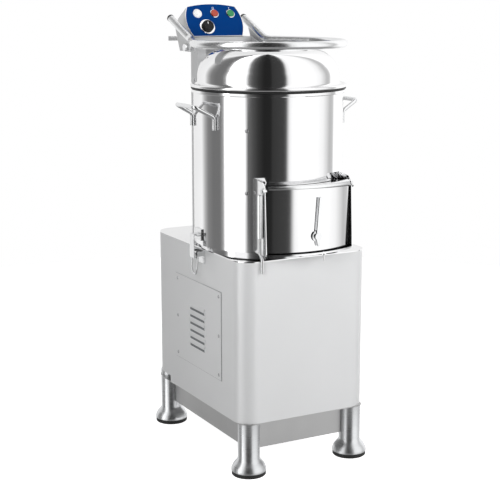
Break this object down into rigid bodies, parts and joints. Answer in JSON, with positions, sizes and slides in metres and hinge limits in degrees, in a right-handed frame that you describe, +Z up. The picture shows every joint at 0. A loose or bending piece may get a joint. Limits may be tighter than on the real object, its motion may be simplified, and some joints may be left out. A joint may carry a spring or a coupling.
{
  "type": "electric potato peeler",
  "caption": "Floor-standing electric potato peeler: cabinet on flared legs, polished drum with a front discharge door, domed lid on a tubular bow and a rear control box.",
  "frame": {"origin": "on the floor, at the middle of the footprint box", "axes": "+X to the viewer's right, +Y from the front to the back, +Z up"},
  "size_m": [0.464, 0.616, 1.121],
  "materials": {
    "cabinet_steel": "satin stainless sheet",
    "drum_steel": "polished stainless",
    "tube_steel": "polished stainless rod and tube",
    "box_steel": "satin stainless",
    "screw_steel": "satin",
    "ring_chrome": "polished",
    "bearing_steel": "ground",
    "leg_aluminium": "brushed",
    "cast_housing": "machined and painted",
    "motor_paint": "satin paint",
    "abrasive": "coarse grit coating",
    "black_rubber": "matt",
    "belt_rubber": "matt",
    "black_plastic": "satin",
    "panel_blue": "satin film",
    "lamp_white": "gloss",
    "button_red": "gloss",
    "button_green": "gloss",
    "knob_black": "satin"
  },
  "bodies": {
    "base": {"base_tray": "box_steel", "bearing_housing": "cast_housing", "cabinet_shell": "cabinet_steel", "cabinet_top": "drum_steel", "cable_gland": "black_plastic", "chute_cheeks": "drum_steel", "chute_floor": "drum_steel", "control_box": "box_steel", "control_panel": "panel_blue", "control_rings": "ring_chrome", "control_shelf": "cabinet_steel", "dome_screws": "screw_steel", "door_hinge_rod": "tube_steel", "drain_pipe": "drum_steel", "drive_belt": "belt_rubber", "drum_base": "drum_steel", "drum_shell": "drum_steel", "fan_cowl": "motor_paint", "front_left_leg": "leg_aluminium", "front_right_leg": "leg_aluminium", "latch_fittings": "tube_steel", "leg_pads": "black_rubber", "lid_axle": "tube_steel", "motor_bracket": "cabinet_steel", "motor_housing": "motor_paint", "pilot_lamp": "lamp_white", "rear_column": "cabinet_steel", "rear_left_leg": "leg_aluminium", "rear_right_leg": "leg_aluminium", "service_panel": "cabinet_steel", "shaft_bearings": "bearing_steel", "shaft_seal": "black_rubber", "side_handles": "tube_steel", "switch_bodies": "black_plastic", "terminal_box": "black_plastic", "water_inlet": "tube_steel"},
    "lid": {"lid_dome": "drum_steel", "lid_gasket": "black_rubber", "lid_plate": "drum_steel", "lid_bridge": "cabinet_steel", "lid_bow": "tube_steel", "hinge_lugs": "cabinet_steel"},
    "door": {"discharge_door": "drum_steel", "door_seal": "black_rubber"},
    "lever": {"door_lever": "tube_steel"},
    "interlock": {"safety_rod": "tube_steel"},
    "left_latch": {"left_latch_lever": "tube_steel"},
    "left_bail": {"left_latch_bail": "tube_steel"},
    "right_latch": {"right_latch_lever": "tube_steel"},
    "right_bail": {"right_latch_bail": "tube_steel"},
    "disc": {"abrasive_disc": "abrasive", "disc_nut": "tube_steel", "main_shaft": "tube_steel", "drum_pulley": "cast_housing"},
    "rotor": {"motor_rotor": "bearing_steel", "motor_pulley": "cast_housing"},
    "stop": {"stop_button": "button_red"},
    "start": {"start_button": "button_green"},
    "timer": {"timer_knob": "knob_black"}
  },
  "joints": [
    {"name": "lid_hinge", "type": "hinge", "parent": "base", "child": "lid", "pos_m": [0, 0.165, 1.013], "axis": [-1, 0, 0], "range_deg": [0, 80]},
    {"name": "door_hinge", "type": "hinge", "parent": "base", "child": "door", "pos_m": [0, -0.2615, 0.699], "axis": [-1, 0, 0], "range_deg": [0, 85]},
    {"name": "lever_turn", "type": "hinge", "parent": "door", "child": "lever", "pos_m": [0.004, -0.2955, 0.588], "axis": [0, 1, 0], "range_deg": [0, 90]},
    {"name": "interlock_slide", "type": "slide", "parent": "base", "child": "interlock", "axis": [0, 0, 1], "range_m": [0, 0.012]},
    {"name": "left_latch_turn", "type": "hinge", "parent": "base", "child": "left_latch", "pos_m": [-0.195, -0.05, 0.522], "axis": [0, 1, 0], "range_deg": [0, 150]},
    {"name": "left_bail_turn", "type": "hinge", "parent": "left_latch", "child": "left_bail", "pos_m": [-0.196, -0.05, 0.513], "axis": [0, 1, 0], "range_deg": [-150, 0]},
    {"name": "right_latch_turn", "type": "hinge", "parent": "base", "child": "right_latch", "pos_m": [0.195, -0.05, 0.522], "axis": [0, -1, 0], "range_deg": [0, 150]},
    {"name": "right_bail_turn", "type": "hinge", "parent": "right_latch", "child": "right_bail", "pos_m": [0.196, -0.05, 0.513], "axis": [0, -1, 0], "range_deg": [-150, 0]},
    {"name": "disc_spin", "type": "hinge", "parent": "base", "child": "disc", "pos_m": [0, -0.0675, 0.585], "axis": [0, 0, 1], "continuous": true},
    {"name": "motor_spin", "type": "hinge", "parent": "base", "child": "rotor", "pos_m": [0, 0.128, 0.374], "axis": [0, 0, 1], "continuous": true},
    {"name": "stop_press", "type": "slide", "parent": "base", "child": "stop", "axis": [0, 0.8607, -0.509], "range_m": [0, 0.003], "stiffness_N_per_m": 400},
    {"name": "start_press", "type": "slide", "parent": "base", "child": "start", "axis": [0, 0.8607, -0.509], "range_m": [0, 0.003], "stiffness_N_per_m": 400},
    {"name": "timer_turn", "type": "hinge", "parent": "base", "child": "timer", "pos_m": [-0.0253, 0.21725, 1.0621], "axis": [0, 0.8607, -0.509], "range_deg": [0, 300]}
  ],
  "couplings": [
    {"joint": "interlock_slide", "follows": "door_hinge", "m_per_rad": 0.00795},
    {"joint": "left_bail_turn", "follows": "left_latch_turn", "ratio": -1},
    {"joint": "right_bail_turn", "follows": "right_latch_turn", "ratio": -1},
    {"joint": "motor_spin", "follows": "disc_spin", "ratio": 3.3567}
  ]
}
